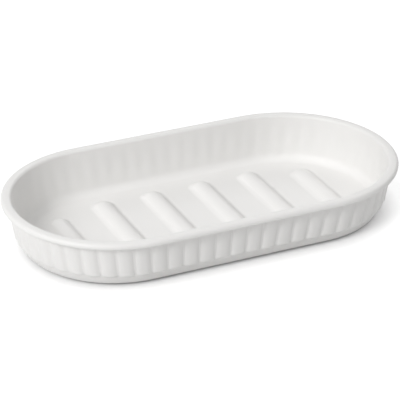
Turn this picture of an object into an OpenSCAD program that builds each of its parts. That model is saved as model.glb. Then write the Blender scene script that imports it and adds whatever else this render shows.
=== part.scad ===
// Soap dish: a shallow oval tray with a rolled lip, a reeded wall and raised
// ridges that keep the soap off its floor. It stands on four soft pads.
// X runs along the dish, Y across it and Z up. The origin is the middle of the
// surface that the pads stand on.

/* [Dish] */
// Length over the lip
dish_l = 150; // [130:1:180]
// Width over the lip
dish_w = 81.6; // [74:0.2:98]
// Height of the lip's top above the surface that the dish stands on
dish_h = 19.8; // [18:0.2:26]

/* [Lip] */
// Thickness of the lip, whose outer edge is a half round
lip_t = 2.6; // [2:0.1:3]
// How far the lip stands out past the top of the wall
lip_overhang = 2.8; // [2.4:0.1:3.2]
// Radius of the lip's inner edge
lip_inner_r = 1.6; // [1:0.1:1.8]

/* [Wall] */
// Thickness of the wall
wall_t = 1.4; // [1.2:0.1:1.8]
// Lean of the wall's upper stretch from upright, in degrees
wall_lean = 10; // [6:0.5:14]
// Height of the wall's lower stretch, which curves in to the foot
wall_bend_h = 7.1; // [6:0.1:8.5]
// Radius of that curve
wall_bend_r = 16.5; // [15:0.5:22]
// Radius of the rounding under the foot
foot_r = 1; // [0.6:0.1:1.4]

/* [Floor] */
// Thickness of the floor, and of its skin over each ridge
floor_t = 1.4; // [1.2:0.1:1.8]
// Radius between the floor and the wall
floor_fillet_r = 3.5; // [3:0.5:6]

/* [Reeds] */
// Spacing of the reeds round the top of the wall, to the nearest odd number
reed_pitch = 6.1; // [5:0.1:8]
// How far a reed's crest stands out from the plain band below it
reed_proud = 0.6; // [0.4:0.05:0.8]
// How far a reed's side stands out from that band
reed_side_proud = 0.1; // [0.05:0.05:0.2]
// Width of the plain line between two reeds
reed_gap = 0.3; // [0.2:0.1:0.6]
// Height of the plain band below the reeds
reed_band_h = 4.4; // [3:0.1:6]

/* [Ridges] */
// Number of ridges across the floor
ridge_count = 6; // [4:2:6]
// Spacing of the ridges
ridge_pitch = 19.8; // [18:0.2:20.6]
// Width of a ridge over its soft foot
ridge_w = 11.6; // [11:0.2:13]
// Height of a ridge above the floor
ridge_h = 2.1; // [1.6:0.1:2.2]
// Radius of the soft foot along a ridge
ridge_foot_r = 4; // [2:0.5:4.5]
// Distance from a ridge's end to the edge of the flat floor
ridge_margin = 3.7; // [2:0.1:6]

/* [Pads] */
// Diameter of a pad
pad_d = 9; // [7:0.5:10]
// Thickness of a pad
pad_t = 1.3; // [1.1:0.1:1.6]
// Depth of the seat under the floor that a pad sits in
pad_seat_depth = 0.4; // [0.2:0.1:0.6]
// Gap round a pad in its seat
pad_clearance = 0.2; // [0.1:0.05:0.4]
// Width of the bevel round a pad's lower edge
pad_bevel = 0.3; // [0.1:0.1:0.5]
// Distance from a pad to the edge of the flat underside
pad_margin = 5.5; // [4:0.5:8]

/* [Hidden] */

$fn = 64;
// Facets in each rounding of the sections, and in the lip's half round
round_steps = 5;
lip_steps = 8;
// What a ridge's foot dips below the floor that it rises from
ridge_sink = 0.03;
// What a cut or a buried face runs past the face that it crosses
overrun = 0.3;

dish_colour = [0.94, 0.94, 0.93];
pad_colour = [0.86, 0.86, 0.85];

// Heights
base_z = pad_t - pad_seat_depth;
floor_z = base_z + floor_t;
lip_under_z = dish_h - lip_t;
bend_z = base_z + wall_bend_h;

// The dish's section. A point is [distance from the middle line, height], and
// the end halves turn the section about the end centres.
half_w = dish_w / 2;
end_x = dish_l / 2 - half_w;
lip_r = lip_t / 2;
neck_r = half_w - lip_overhang;
bend_top_r = neck_r - (lip_under_z - bend_z) * tan(wall_lean);
bend_c = [bend_top_r - wall_bend_r * cos(wall_lean), bend_z + wall_bend_r * sin(wall_lean)];

// The rounding under the foot touches the wall's curve and the level underside
foot_a = asin((bend_c[1] - base_z - foot_r) / (wall_bend_r - foot_r));
foot_c = [bend_c[0] + (wall_bend_r - foot_r) * cos(foot_a), base_z + foot_r];

// The wall's inner face is straight from the lip's inner edge to the fillet
function inner_r(z) = neck_r - (lip_under_z - z) * tan(wall_lean) - wall_t / cos(wall_lean);
inner_edge_z = dish_h - lip_inner_r;
inner_edge_r = inner_r(inner_edge_z) + lip_inner_r / cos(wall_lean);
fillet_z = floor_z + floor_fillet_r;
fillet_c = [inner_r(fillet_z) - floor_fillet_r / cos(wall_lean), fillet_z];

// Points along an arc about c, without its first point
function arc_on(c, r, from, to, steps) =
    [for (i = [1:steps]) c + r * [cos(from + (to - from) * i / steps), sin(from + (to - from) * i / steps)]];

function section() = concat(
    [[0, base_z], [foot_c[0], base_z]],
    arc_on(foot_c, foot_r, -90, -foot_a, round_steps),
    arc_on(bend_c, wall_bend_r, -foot_a, -wall_lean, round_steps),
    [[neck_r, lip_under_z], [half_w - lip_r, lip_under_z]],
    arc_on([half_w - lip_r, lip_under_z + lip_r], lip_r, -90, 90, lip_steps),
    [[inner_edge_r, dish_h]],
    arc_on([inner_edge_r, inner_edge_z], lip_inner_r, 90, 180 - wall_lean, round_steps),
    [fillet_c + floor_fillet_r * [cos(wall_lean), -sin(wall_lean)]],
    arc_on(fillet_c, floor_fillet_r, -wall_lean, -90, round_steps),
    [[0, floor_z]]
);

// A place round the wall is a share of the way round it from the middle of the
// front, the right end first, where the wall is r from the middle line. There
// the wall has turned this far from facing the front, and this is the place on
// the middle line that it faces away from.
function wall_round(r) = 4 * end_x + 2 * PI * r;
function passed(s, from, to) = min(1, max(0, (s - from) / (to - from)));
function wall_turn(share, r) =
    let (s = share * wall_round(r), end_round = PI * r)
    180 * passed(s, end_x, end_x + end_round)
        + 180 * passed(s, 3 * end_x + end_round, 3 * end_x + 2 * end_round);
function wall_x(share, r) =
    let (s = share * wall_round(r), end_round = PI * r)
    end_x * passed(s, 0, end_x)
        - 2 * end_x * passed(s, end_x + end_round, 3 * end_x + end_round)
        + end_x * passed(s, 3 * end_x + 2 * end_round, wall_round(r));
function wall_point(share, r) =
    [wall_x(share, r) + r * sin(wall_turn(share, r)), -r * cos(wall_turn(share, r))];

// Reeds stand evenly round the wall at every height, so they draw together on
// their way down. Their odd number puts a gap on the middle of the front and a
// crest on the middle of the back.
reed_count = 2 * round((wall_round(neck_r) / reed_pitch - 1) / 2) + 1;
reed_step = wall_round(neck_r) / reed_count;
reed_rise = reed_proud - reed_side_proud;
reed_crest_r = (pow((reed_step - reed_gap) / 2, 2) + pow(reed_rise, 2)) / (2 * reed_rise);
// The rounded toe ends on the band, so the reed's straight stretch is shorter
reed_toe = sqrt(pow(reed_crest_r, 2) - pow(reed_crest_r - reed_proud, 2));
reed_len = (lip_under_z - base_z - reed_band_h) / cos(wall_lean) - reed_toe;
reed_sink = wall_t / 2;
// Heights along the slope of the wall that a reed is cut between, from the
// wall's top, and the distance of each from the middle line
reed_ends = [-reed_len - reed_crest_r, lip_r];
reed_end_r = [for (up = reed_ends) neck_r + up * sin(wall_lean)];

// A ridge or pad at x reaches this far to the side, if it may reach a given
// distance from the middle line and from the end centres
function side_reach(x, reach) = abs(x) <= end_x ? reach : sqrt(pow(reach, 2) - pow(abs(x) - end_x, 2));

// A ridge's crown and its foot are arcs that touch at the slope between them
ridge_rise = ridge_h + ridge_sink;
ridge_slope = 2 * atan(ridge_rise / (ridge_w / 2));
ridge_r = (pow(ridge_w / 2, 2) + pow(ridge_rise, 2)) / (2 * ridge_rise) - ridge_foot_r;
ridge_centre_z = floor_z + ridge_h - ridge_r;
function ridge_section() = concat(
    [[0, floor_z - floor_t / 2], [ridge_w / 2, floor_z - floor_t / 2], [ridge_w / 2, floor_z - ridge_sink]],
    arc_on([ridge_w / 2, floor_z - ridge_sink + ridge_foot_r], ridge_foot_r, -90, -90 - ridge_slope, round_steps),
    arc_on([0, ridge_centre_z], ridge_r, 90 - ridge_slope, 90, round_steps)
);
ridge_reach = fillet_c[0] - ridge_margin - ridge_w / 2;
function ridge_x(i) = (i - (ridge_count - 1) / 2) * ridge_pitch;

// The pads stand midway between the last two ridges of each end
pad_reach = foot_c[0] - pad_margin - pad_d / 2;
pad_x = (ridge_count / 2 - 1) * ridge_pitch;
pad_y = side_reach(pad_x, pad_reach);

// The section turned about both end centres and drawn out between them
module tray() {
    for (side = [0, 180])
        rotate([0, 0, side]) {
            translate([end_x, 0, 0]) rotate([0, 0, -90]) rotate_extrude(angle = 180) polygon(section());
            translate([-end_x, 0, 0]) rotate([90, 0, 90]) linear_extrude(height = 2 * end_x) polygon(section());
        }
}

// A reed's whole rod with its round toe, its crest in front of the wall's face
module reed_rod() {
    translate([0, reed_crest_r - reed_proud, -reed_len]) {
        cylinder(r = reed_crest_r, h = reed_len + lip_r);
        sphere(r = reed_crest_r);
    }
}

// How far the wall at a share and a distance from the middle line lies to the
// side of the top of the reed whose own share is mid
function aside(share, mid, r) =
    (wall_point(share, r) - wall_point(mid, neck_r))
        * [cos(wall_turn(mid, neck_r)), sin(wall_turn(mid, neck_r))];

// Each reed is cut to its own strip of the wall, with a plain line beside it,
// and cut off behind its face inside the wall
module reeds() {
    for (i = [0:reed_count - 1]) {
        from = i / reed_count;
        to = (i + 1) / reed_count;
        mid = (from + to) / 2;
        roll = atan(aside(mid, mid, reed_end_r[0]) / reed_ends[0]);
        strip = [
            [aside(from, mid, reed_end_r[0]) + reed_gap / 2, reed_ends[0]],
            [aside(to, mid, reed_end_r[0]) - reed_gap / 2, reed_ends[0]],
            [aside(to, mid, reed_end_r[1]) - reed_gap / 2, reed_ends[1]],
            [aside(from, mid, reed_end_r[1]) + reed_gap / 2, reed_ends[1]]
        ];
        translate([wall_x(mid, neck_r), 0, 0]) rotate([0, 0, wall_turn(mid, neck_r)])
            translate([0, -neck_r, lip_under_z]) rotate([wall_lean, 0, 0]) intersection() {
                rotate([0, roll, 0]) reed_rod();
                translate([0, reed_sink, 0]) rotate([90, 0, 0])
                    linear_extrude(height = reed_sink + reed_proud + overrun) polygon(strip);
            }
    }
}

// A round-ended bar across the dish: half a section drawn out on each side of
// the bar's middle line, and turned about each end
module ridge_bar(x) {
    half = side_reach(x, ridge_reach);
    translate([x, 0, 0])
        for (side = [0, 180])
            rotate([0, 0, side]) {
                translate([0, half, 0]) rotate_extrude(angle = 180) children();
                translate([0, half, 0]) rotate([90, 0, 0]) linear_extrude(height = 2 * half) children();
            }
}

module ridges() {
    for (i = [0:ridge_count - 1])
        ridge_bar(ridge_x(i)) polygon(ridge_section());
}

// The underside is hollowed under each ridge, so that its skin stays even
module ridge_hollows() {
    for (i = [0:ridge_count - 1])
        ridge_bar(ridge_x(i)) hollow_half();
}

module hollow_half() {
    intersection() {
        translate([0, ridge_centre_z]) circle(r = ridge_r - floor_t);
        translate([0, base_z - overrun]) square([ridge_r, ridge_h + 2 * overrun]);
    }
}

module pad_seats() {
    for (x = [-pad_x, pad_x], y = [-pad_y, pad_y])
        translate([x, y, base_z - overrun])
            cylinder(d = pad_d + 2 * pad_clearance, h = pad_seat_depth + overrun);
}

module dish_body() {
    color(dish_colour) difference() {
        union() {
            tray();
            reeds();
            ridges();
        }
        ridge_hollows();
        pad_seats();
    }
}

module pad(x, y) {
    color(pad_colour) translate([x, y, 0]) {
        cylinder(d1 = pad_d - 2 * pad_bevel, d2 = pad_d, h = pad_bevel);
        translate([0, 0, pad_bevel]) cylinder(d = pad_d, h = pad_t - pad_bevel);
    }
}

module pad_front_left() { pad(-pad_x, -pad_y); }
module pad_front_right() { pad(pad_x, -pad_y); }
module pad_back_left() { pad(-pad_x, pad_y); }
module pad_back_right() { pad(pad_x, pad_y); }

dish_body();
pad_front_left();
pad_front_right();
pad_back_left();
pad_back_right();
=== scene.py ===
"""A moulded soap dish on four soft pads, on a pale table in soft light.

Lengths are in metres. X runs along the dish, Y across it and Z up, from the middle of the
plane that the dish stands on.
"""
import math

import bmesh
import bpy
import numpy as np
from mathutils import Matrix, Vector


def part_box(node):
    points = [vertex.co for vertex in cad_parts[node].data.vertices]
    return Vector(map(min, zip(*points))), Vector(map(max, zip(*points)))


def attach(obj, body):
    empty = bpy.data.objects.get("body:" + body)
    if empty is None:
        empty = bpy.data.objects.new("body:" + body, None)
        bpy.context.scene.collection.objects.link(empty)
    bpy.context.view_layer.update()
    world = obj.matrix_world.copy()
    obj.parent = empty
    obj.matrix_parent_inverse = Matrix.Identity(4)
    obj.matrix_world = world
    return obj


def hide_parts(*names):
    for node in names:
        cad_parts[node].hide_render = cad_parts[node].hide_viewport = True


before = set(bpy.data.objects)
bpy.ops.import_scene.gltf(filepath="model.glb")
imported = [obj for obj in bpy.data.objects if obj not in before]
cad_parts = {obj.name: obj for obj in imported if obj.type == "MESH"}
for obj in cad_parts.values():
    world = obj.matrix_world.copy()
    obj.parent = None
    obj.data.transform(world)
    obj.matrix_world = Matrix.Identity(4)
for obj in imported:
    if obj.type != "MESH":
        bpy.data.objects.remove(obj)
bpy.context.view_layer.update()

# The dish
# One injection moulding in satin white plastic, so it is one closed surface. A section
# about 1.4 mm thick is carried round a straight-sided oval, reeds stand out of its outer
# face, and six hollow ridges are raised from its floor.

mm = 0.001
dish_low, dish_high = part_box("dish_body")
half_length = dish_high.x
half_width = dish_high.y
rim_z = dish_high.z
base_z = dish_low.z
end_x = half_length - half_width

# The wall, which leans out, and bends in at its foot
wall = 1.4 * mm
wall_lean = math.radians(10)
bend_rise = 7.1 * mm
wall_bend_r = 16.5 * mm
bend_rows = 24
foot_r = 1.0 * mm
foot_rows = 6

# The rolled lip, whose crown falls slightly towards its edge
lip_thickness = 2.2 * mm
lip_overhang = 2.8 * mm
lip_edge_r = 1.25 * mm
lip_lower_r = 0.8 * mm
lip_crown_drop = 0.14 * mm
lip_crown_inset = 2.3 * mm
lip_crown_r = 6.0 * mm
lip_inner_r = 1.3 * mm
lip_under_r = 0.4 * mm
lip_under_z = rim_z - lip_thickness
lip_outer_top = rim_z - lip_crown_drop

# The floor, with a narrow flat border kept beside each round that ends on it
floor_thickness = 1.4 * mm
floor_z = base_z + floor_thickness
floor_fillet_r = 3.5 * mm
flat_border = 0.4 * mm


def rounded_outline(corners):
    """Rows of a section, each [distance from the middle line, height].

    A corner is (distance, height, radius, rows in its round, rows in the straight before
    it). Its round is the arc that touches both straights, which it leaves at
    radius * tan(turn / 2) from the corner.
    """
    at = np.array([corner[:2] for corner in corners])
    run = np.diff(at, axis=0)
    run /= np.linalg.norm(run, axis=1)[:, None]
    rows = [at[:1]]
    for i in range(1, len(corners)):
        radius, round_rows, straight_rows = corners[i][2:]
        start, arc = at[i], np.empty((0, 2))
        if radius:
            before, after = run[i - 1], run[i]
            turn = math.atan2(before[0] * after[1] - before[1] * after[0], before @ after)
            start = at[i] - before * radius * math.tan(abs(turn) / 2)
            inward = np.array([-before[1], before[0]]) * math.copysign(radius, turn)
            angle = turn * np.arange(1, round_rows + 1)[:, None] / round_rows
            spoke = -inward
            swung = np.array([-spoke[1], spoke[0]])
            arc = start + inward + np.cos(angle) * spoke + np.sin(angle) * swung
        share = np.arange(1, straight_rows + 1)[:, None] / straight_rows
        rows += [rows[-1][-1] + share * (start - rows[-1][-1]), arc]
    return np.vstack(rows)


def arc_rows(centre, radius, start, end, rows):
    """Rows on an arc about a centre, from one slope s below level to another: the centre's
    distance + radius * cos s, and its height - radius * sin s."""
    slope = np.linspace(start, end, rows)[:, None]
    return np.hstack([centre[0] + radius * np.cos(slope), centre[1] - radius * np.sin(slope)])


# The outer face: the bend's arc touches the leaning wall, and the foot's arc touches the
# bend from inside and the base
right_angle = math.pi / 2
neck_r = half_width - lip_overhang
bend_top_z = base_z + bend_rise
bend_top_r = neck_r - (lip_under_z - bend_top_z) * math.tan(wall_lean)
bend_centre = (
    bend_top_r - wall_bend_r * math.cos(wall_lean),
    bend_top_z + wall_bend_r * math.sin(wall_lean),
)
foot_slope = math.asin((bend_centre[1] - base_z - foot_r) / (wall_bend_r - foot_r))
foot_centre = (
    bend_centre[0] + (wall_bend_r - foot_r) * math.cos(foot_slope),
    base_z + foot_r,
)

# The inner face: straight from the rim to the floor's fillet, a wall's thickness inside
inner_top_r = neck_r + (rim_z - lip_under_z) * math.tan(wall_lean) - wall / math.cos(wall_lean)
inner_foot_r = inner_top_r - (rim_z - floor_z) * math.tan(wall_lean)
fillet_inset = floor_fillet_r * math.tan((right_angle - wall_lean) / 2)

section = np.vstack([
    [(foot_centre[0] - flat_border, base_z)],
    arc_rows(foot_centre, foot_r, right_angle, foot_slope, foot_rows),
    arc_rows(bend_centre, wall_bend_r, foot_slope, wall_lean, bend_rows)[1:],
    rounded_outline([
        # Distance, height, radius, rows in the round, rows in the straight before it
        (bend_top_r, bend_top_z, 0, 0, 0),
        (neck_r, lip_under_z, lip_under_r, 4, 6),
        (half_width, lip_under_z, lip_lower_r, 5, 2),
        (half_width, lip_outer_top, lip_edge_r, 8, 1),
        (half_width - lip_crown_inset, rim_z, lip_crown_r, 4, 1),
        (inner_top_r, rim_z, lip_inner_r, 8, 1),
        (inner_foot_r, floor_z, floor_fillet_r, 10, 7),
        (inner_foot_r - fillet_inset - flat_border, floor_z, 0, 0, 1),
    ])[1:],
])

# The reeds: flat-crested ribs with nearly square toes and a narrow flat gap between them.
# They sink faintly through to the inner face.
reed_pitch = 6.1 * mm
reed_proud = 0.6 * mm
reed_fill = 0.85
reed_fullness = 2.8
reed_toe = 1.0 * mm
reed_toe_z = 4.6 * mm
reed_blend = 0.06 * mm
inner_echo = 0.09 * mm

# Where the mesh has its columns in one step, closest where a reed rises from the gap
reed_columns = np.array([
    0, 0.045, 0.08, 0.115, 0.18, 0.28, 0.39, 0.5, 0.61, 0.72, 0.82, 0.885, 0.92, 0.955,
])


def wall_round(r):
    """The distance round the wall where it is r from the middle line: four half straights
    and a full circle."""
    return 4 * end_x + 2 * math.pi * r


# The odd number of reeds that comes nearest to the pitch, as the photograph has it
reed_count = 2 * round((wall_round(neck_r) / reed_pitch - 1) / 2) + 1


def reeded_wall(rows, share):
    """Distance from the middle line for each row and each share of the way round.

    Across a step, u runs from -1 to 1. From the top of a reed's toe, v runs down to 1. Its
    face stands out by proud * (1 - |u / fill|^fullness - v^2). The wall is the larger of
    that face and the plain section, plus (blend - gap)^2 / (4 blend) where the two are
    nearer than blend. From the floor to the rim, depth runs from 0 to 1, and the inner
    face moves by -echo * sin(pi * depth)^2 * cos(pi * u).
    """
    u = 2 * (share * reed_count % 1) - 1
    r, z = rows[:, :1], rows[:, 1:]
    v = np.maximum(1 - (z - reed_toe_z) / reed_toe, 0)
    stand = reed_proud * (1 - np.abs(u / reed_fill) ** reed_fullness - v ** 2)
    face = neck_r - (lip_under_z - z) * math.tan(wall_lean) + stand / math.cos(wall_lean)
    near = np.maximum(reed_blend - np.abs(r - face), 0)
    reeded = np.maximum(r, face) + near ** 2 / (4 * reed_blend)
    depth = np.clip((z - floor_z) / (rim_z - floor_z), 0, 1)
    echo = -inner_echo * np.sin(math.pi * depth) ** 2 * np.cos(math.pi * u)
    order = np.arange(len(rows))[:, None]
    outside = order < rows[:, 0].argmax()
    inside = order > rows[:, 1].argmax()
    return np.where(outside, reeded, r + inside * echo)


def round_the_dish(share, r):
    """The oval, from the middle of its front by the right end, where the wall is r from the
    middle line: for each share of the way round, the place on the middle line that the wall
    faces away from, and the way it faces, (sin turn, -cos turn). The turn is the distance
    gone round the two ends, over r."""
    end_round = math.pi * r
    along = share * wall_round(r)
    right = np.clip(along - end_x, 0, end_round)
    left = np.clip(along - 3 * end_x - end_round, 0, end_round)
    turn = (right + left) / r
    front = np.minimum(along, end_x) + np.maximum(along - 3 * end_x - 2 * end_round, 0)
    back = np.clip(along - end_x - end_round, 0, 2 * end_x)
    return front - back, np.sin(turn), -np.cos(turn)


def grid_faces(rows, columns, first):
    """Quads of a grid whose rows are closed loops. The point at a row and a column is
    number first + row * columns + column."""
    row_first = first + np.arange(rows - 1)[:, None] * columns
    a = row_first + np.arange(columns)
    b = row_first + (np.arange(columns) + 1) % columns
    return np.stack([a, b, b + columns, a + columns], axis=-1).reshape(-1, 4)


dish_points, dish_faces = [], []


def add_loops(loops):
    """Adds closed loops of points, and the faces between them, to the dish."""
    first = sum(len(points) for points in dish_points)
    dish_points.append(loops.reshape(-1, 3))
    dish_faces.append(grid_faces(loops.shape[0], loops.shape[1], first))


shares = (np.arange(reed_count)[:, None] + reed_columns).ravel() / reed_count
centre_x, face_x, face_y = round_the_dish(shares, section[:, :1])
reach = reeded_wall(section, shares)
height = np.broadcast_to(section[:, 1:], reach.shape)
add_loops(np.stack([centre_x + reach * face_x, reach * face_y, height], axis=-1))

# The ridges: low round bars across the floor that lift the soap out of the water, hollow
# underneath. The photograph shows all six a little to the left of symmetric places.
ridge_count = 6
ridge_pitch = 19.8 * mm
ridge_width = 10.6 * mm
ridge_height = 2.1 * mm
ridge_foot_r = 3.0 * mm
ridge_foot_rows = 8
ridge_crown_rows = 10
ridge_reach = 22.0 * mm
ridge_shift = -0.4 * mm
hollow_edge_r = 0.4 * mm
ridge_end_samples = 28
ridge_side_samples = 4


def ridge_profile(crown_r, height, foot_r, level):
    """Rows of a ridge from its border to its spine, each [distance from the spine,
    height]: a concave foot arc, then the crown arc that it touches. The centres of the
    two arcs are crown_r + foot_r apart."""
    down = crown_r - height
    foot_d = math.sqrt((crown_r + foot_r) ** 2 - (down + foot_r) ** 2)
    edge = math.atan2(foot_d, down + foot_r)
    foot = np.linspace(0, edge, ridge_foot_rows)[:, None]
    crown = np.linspace(edge, 0, ridge_crown_rows)[1:, None]
    return np.vstack([
        [[foot_d + flat_border, level]],
        np.hstack([foot_d - foot_r * np.sin(foot), level + foot_r - foot_r * np.cos(foot)]),
        np.hstack([crown_r * np.sin(crown), level - down + crown_r * np.cos(crown)]),
    ])


def ridge_loops(x, half, profile):
    """A ridge as loops round its spine: a point at distance d and turn t from the spine's
    point y is (x + d cos t, y + d sin t)."""
    end_turn = math.pi * np.arange(ridge_end_samples) / ridge_end_samples
    side_y = half - 2 * half * np.arange(ridge_side_samples) / ridge_side_samples
    turn = np.concatenate([end_turn, np.full(ridge_side_samples, math.pi)])
    spine_y = np.concatenate([np.full(ridge_end_samples, half), side_y])
    turn = np.concatenate([turn, turn + math.pi])
    spine_y = np.concatenate([spine_y, -spine_y])
    d, z = profile[:, :1], profile[:, 1:]
    z = np.broadcast_to(z, (len(d), len(turn)))
    return np.stack([x + d * np.cos(turn), spine_y + d * np.sin(turn), z], axis=-1)


# For a half width w and a height h, the crown and the foot that touch have radii that add
# up to (w^2 + h^2) / 2h
both_radii = ((ridge_width / 2) ** 2 + ridge_height ** 2) / (2 * ridge_height)
ridge_crown_r = both_radii - ridge_foot_r
top_profile = ridge_profile(ridge_crown_r, ridge_height, ridge_foot_r, floor_z)
hollow_profile = ridge_profile(
    ridge_crown_r - floor_thickness, ridge_height, hollow_edge_r, base_z)

# Each spine ends on the oval that is ridge_reach from the middle line
for i in range(ridge_count):
    x = (i - (ridge_count - 1) / 2) * ridge_pitch
    half = math.sqrt(ridge_reach ** 2 - max(abs(x) - end_x, 0) ** 2)
    add_loops(ridge_loops(x + ridge_shift, half, top_profile))
    add_loops(ridge_loops(x + ridge_shift, half, hollow_profile))

# The seats for the pads: shallow round recesses under the floor
seat_depth = 0.4 * mm
seat_clearance = 0.2 * mm
seat_samples = 64
pad_names = ("pad_front_left", "pad_front_right", "pad_back_left", "pad_back_right")


def turned(rows, middle, samples):
    """A section turned about the upright line through a middle: a row at distance d and
    height z becomes the loop of points (x + d cos t, y + d sin t, z)."""
    turn = 2 * math.pi * np.arange(samples) / samples
    d, z = rows[:, :1], rows[:, 1:]
    z = np.broadcast_to(z, (len(d), samples))
    return np.stack([middle.x + d * np.cos(turn), middle.y + d * np.sin(turn), z], axis=-1)


for name in pad_names:
    low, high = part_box(name)
    seat_r = (high.x - low.x) / 2 + seat_clearance
    seat_rows = np.array([
        (seat_r + flat_border, base_z),
        (seat_r, base_z),
        (seat_r, base_z + seat_depth),
        (seat_r - flat_border, base_z + seat_depth),
        (0, base_z + seat_depth),
    ])
    add_loops(turned(seat_rows, (low + high) / 2, seat_samples))

# Making the mesh
merge_distance = 0.0005 * mm
level_slack = 0.04 * mm
crease_angle = math.radians(50)


def closed_mesh(name, points, faces, open_levels=()):
    """A mesh whose doubled points are merged, whose borders at the open levels are filled
    flat with triangles, and whose faces all point outwards. It is shaded smooth except
    where two faces meet at more than the crease angle."""
    mesh = bpy.data.meshes.new(name)
    mesh.from_pydata(points, [], faces.tolist())
    joined = bmesh.new()
    joined.from_mesh(mesh)
    bmesh.ops.remove_doubles(joined, verts=joined.verts, dist=merge_distance)
    for open_level in open_levels:
        border = [
            edge for edge in joined.edges
            if edge.is_boundary and abs(edge.verts[0].co.z - open_level) < level_slack
        ]
        bmesh.ops.triangle_fill(joined, edges=border, use_beauty=True, normal=(0, 0, 1))
    bmesh.ops.recalc_face_normals(joined, faces=joined.faces)
    joined.to_mesh(mesh)
    joined.free()
    mesh.shade_smooth()
    mesh.set_sharp_from_angle(angle=crease_angle)
    return mesh


def into_scene(name, data):
    """A new object at the origin, linked into the scene."""
    thing = bpy.data.objects.new(name, data)
    bpy.context.scene.collection.objects.link(thing)
    return thing


dish_mesh = closed_mesh(
    "dish", np.vstack(dish_points), np.vstack(dish_faces), open_levels=(floor_z, base_z))
dish = into_scene("dish", dish_mesh)


def moulded_finish(
    name, ior, shades, drift_scale, drift_detail,
    grain_scale, grain_detail, roughness, bump_strength, bump_height,
):
    """A moulded skin. A soft noise drifts its colour between two shades. A fine grain moves
    its roughness between two limits and stands up as bumps. Scales are in cells a metre."""
    material = bpy.data.materials.new(name)
    material.use_nodes = True
    nodes, links = material.node_tree.nodes, material.node_tree.links
    shader = nodes["Principled BSDF"]
    shader.inputs["IOR"].default_value = ior
    place = nodes.new("ShaderNodeTexCoord")

    drift = nodes.new("ShaderNodeTexNoise")
    drift.inputs["Scale"].default_value = drift_scale
    drift.inputs["Detail"].default_value = drift_detail
    links.new(place.outputs["Object"], drift.inputs["Vector"])
    colour = nodes.new("ShaderNodeMix")
    colour.data_type = "RGBA"
    colour.inputs["A"].default_value = shades[0]
    colour.inputs["B"].default_value = shades[1]
    links.new(drift.outputs["Fac"], colour.inputs["Factor"])
    links.new(colour.outputs["Result"], shader.inputs["Base Color"])

    grain = nodes.new("ShaderNodeTexNoise")
    grain.inputs["Scale"].default_value = grain_scale
    grain.inputs["Detail"].default_value = grain_detail
    links.new(place.outputs["Object"], grain.inputs["Vector"])
    gloss = nodes.new("ShaderNodeMapRange")
    gloss.inputs["To Min"].default_value = roughness[0]
    gloss.inputs["To Max"].default_value = roughness[1]
    links.new(grain.outputs["Fac"], gloss.inputs["Value"])
    links.new(gloss.outputs["Result"], shader.inputs["Roughness"])

    bump = nodes.new("ShaderNodeBump")
    bump.inputs["Strength"].default_value = bump_strength
    bump.inputs["Distance"].default_value = bump_height
    links.new(grain.outputs["Fac"], bump.inputs["Height"])
    links.new(bump.outputs["Normal"], shader.inputs["Normal"])
    return material


dish_mesh.materials.append(moulded_finish(
    "satin_white_plastic",
    ior=1.49,
    shades=((0.868, 0.860, 0.846, 1), (0.888, 0.880, 0.866, 1)),
    drift_scale=35,
    drift_detail=2,
    grain_scale=2400,
    grain_detail=3,
    roughness=(0.40, 0.52),
    bump_strength=0.35,
    bump_height=0.01 * mm,
))
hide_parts("dish_body")
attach(dish, "root")

# The pads
# Four small discs of soft matt silicone rubber, pressed into the seats under the floor.
# They keep the dish from sliding and hold its edge clear of the table.

pad_foot_r = 0.35 * mm
pad_top_r = pad_foot_r / 3
pad_pole_share = 0.02
pad_samples = 64


def pad_mesh(name):
    """A disc turned about its own axis: flat faces, joined by a straight side with a round
    at its foot and a smaller one at its top. Its first and last rows are drawn in to the
    axis and become its two poles."""
    low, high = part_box(name)
    radius = (high.x - low.x) / 2
    rows = rounded_outline([
        # Distance, height, radius, rows in the round, rows in the straight before it
        (radius * pad_pole_share, low.z, 0, 0, 0),
        (radius, low.z, pad_foot_r, 6, 4),
        (radius, high.z, pad_top_r, 4, 2),
        (radius * pad_pole_share, high.z, 0, 0, 4),
    ])
    rows[[0, -1], 0] = 0
    loops = turned(rows, (low + high) / 2, pad_samples)
    return closed_mesh(name, loops.reshape(-1, 3), grid_faces(len(rows), pad_samples, 0))


soft_rubber = moulded_finish(
    "soft_rubber",
    ior=1.41,
    shades=((0.66, 0.66, 0.64, 1), (0.74, 0.74, 0.72, 1)),
    drift_scale=180,
    drift_detail=3,
    grain_scale=3000,
    grain_detail=2,
    roughness=(0.62, 0.78),
    bump_strength=0.5,
    bump_height=0.02 * mm,
)
for name in pad_names:
    pad = into_scene("soft_" + name, pad_mesh(name))
    pad.data.materials.append(soft_rubber)
    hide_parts(name)
    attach(pad, "root")

# The table and the backdrop
# A plain white sheet, large enough to fill every view. Seen directly it also glows, so it
# looks white round the shadow, while the dish is lit by its plain colour. The glow fades close
# round the dish, which paints a contact shade there.

table_half = 3.0
table_corners = [
    (-table_half, -table_half, 0),
    (table_half, -table_half, 0),
    (table_half, table_half, 0),
    (-table_half, table_half, 0),
]
table_mesh = bpy.data.meshes.new("table")
table_mesh.from_pydata(table_corners, [], [(0, 1, 2, 3)])
table = into_scene("table", table_mesh)


def seen_or_lighting(nodes, links, seen, lighting):
    """One shader for the rays of the camera and of what it sees by gloss or through glass,
    the largest of those three being 1, and another for the light that falls on the dish."""
    path = nodes.new("ShaderNodeLightPath")
    direct = path.outputs["Is Camera Ray"]
    for kind in ("Is Glossy Ray", "Is Transmission Ray"):
        largest = nodes.new("ShaderNodeMath")
        largest.operation = "MAXIMUM"
        links.new(direct, largest.inputs[0])
        links.new(path.outputs[kind], largest.inputs[1])
        direct = largest.outputs["Value"]
    choice = nodes.new("ShaderNodeMixShader")
    links.new(direct, choice.inputs["Fac"])
    links.new(lighting, choice.inputs[1])
    links.new(seen, choice.inputs[2])
    return choice.outputs["Shader"]


card_grey = 0.82
card_glow = 0.57
# How far round the dish the painted contact shade reaches
painted_shade_reach = 8 * mm


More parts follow.
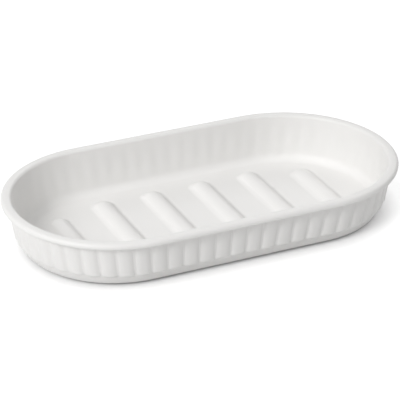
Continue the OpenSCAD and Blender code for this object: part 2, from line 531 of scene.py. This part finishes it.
def white_sheet():
    """White card. Its glow is less where the dish stands closer over it than the contact
    reach, which paints a contact shade round the dish on top of its real shadow; its open
    surface stays pure white."""
    material = bpy.data.materials.new("white_sheet")
    material.use_nodes = True
    nodes, links = material.node_tree.nodes, material.node_tree.links
    nodes.clear()
    output = nodes.new("ShaderNodeOutputMaterial")
    card = nodes.new("ShaderNodeBsdfDiffuse")
    card.inputs["Color"].default_value = (card_grey, card_grey, card_grey, 1)
    # Ambient occlusion dims the glow where the dish stands close over the card: painted
    # contact shade
    painted_contact_shade = nodes.new("ShaderNodeAmbientOcclusion")
    painted_contact_shade.inputs["Distance"].default_value = painted_shade_reach
    glow = nodes.new("ShaderNodeEmission")
    glow.inputs["Strength"].default_value = card_glow
    bright = nodes.new("ShaderNodeAddShader")
    links.new(painted_contact_shade.outputs["Color"], glow.inputs["Color"])
    links.new(card.outputs["BSDF"], bright.inputs[0])
    links.new(glow.outputs["Emission"], bright.inputs[1])
    surface = seen_or_lighting(nodes, links, bright.outputs["Shader"], card.outputs["BSDF"])
    links.new(surface, output.inputs["Surface"])
    return material


table_mesh.materials.append(white_sheet())

room_light = 0.35
backdrop_white = 1.0
room = bpy.data.worlds.new("studio")
bpy.context.scene.world = room
room.use_nodes = True
room_nodes, room_links = room.node_tree.nodes, room.node_tree.links
room_nodes.clear()
room_output = room_nodes.new("ShaderNodeOutputWorld")
ambient = room_nodes.new("ShaderNodeBackground")
ambient.inputs["Color"].default_value = (1, 1, 1, 1)
ambient.inputs["Strength"].default_value = room_light
behind = room_nodes.new("ShaderNodeBackground")
behind.inputs["Color"].default_value = (1, 1, 1, 1)
behind.inputs["Strength"].default_value = backdrop_white
room_surface = seen_or_lighting(
    room_nodes, room_links, behind.outputs["Background"], ambient.outputs["Background"])
room_links.new(room_surface, room_output.inputs["Surface"])

# The lamps
# Five square soft boxes on stands round the table, all aimed at the dish. The key stands
# to the front left, and the others fill the shadows and light the far walls.

box_size = 0.35
box_distance = 1.2
dish_middle = Vector((0, 0, 0))
soft_boxes = {
    "key": {"from_deg": -60, "up_deg": 35, "watts": 5.3},
    "left": {"from_deg": -90, "up_deg": 38, "watts": 1.4},
    "left_back": {"from_deg": -120, "up_deg": 68, "watts": 1.8},
    "right_back": {"from_deg": 150, "up_deg": 35, "watts": 0.9},
    "right_front": {"from_deg": 30, "up_deg": 60, "watts": 1.2},
}


def aim(thing, centre, from_deg, up_deg, distance):
    """Stands a lamp or the camera at a distance from a centre and turns it to look back.
    From degrees run from the front to the right, up degrees from the table, and the way
    to it is (sin from * cos up, -cos from * cos up, sin up)."""
    from_angle, up_angle = math.radians(from_deg), math.radians(up_deg)
    way = Vector((
        math.sin(from_angle) * math.cos(up_angle),
        -math.cos(from_angle) * math.cos(up_angle),
        math.sin(up_angle),
    ))
    thing.location = centre + way * distance
    thing.rotation_euler = way.to_track_quat("Z", "Y").to_euler()


for name, box in soft_boxes.items():
    lamp = bpy.data.lights.new(name, "AREA")
    lamp.shape = "SQUARE"
    lamp.size = box_size
    lamp.energy = box["watts"]
    aim(into_scene(name, lamp), dish_middle, box["from_deg"], box["up_deg"], box_distance)

# The camera
# A long lens from the front left, 27 degrees above the table. Its place and lens are the
# ones that lay the dish's outlines, reeds and ridges over the photograph's.

view_from_deg = -24.68
view_up_deg = 26.84
view_distance = 728.9 * mm
view_centre = Vector((-1.54, -0.86, 9.88)) * mm
lens = bpy.data.cameras.new("camera")
lens.sensor_width = 36
lens.lens = 180.8
lens.clip_start = 0.01
lens.clip_end = 20
camera = into_scene("camera", lens)
aim(camera, view_centre, view_from_deg, view_up_deg, view_distance)
bpy.context.scene.camera = camera
bpy.context.scene.view_settings.view_transform = "Standard"
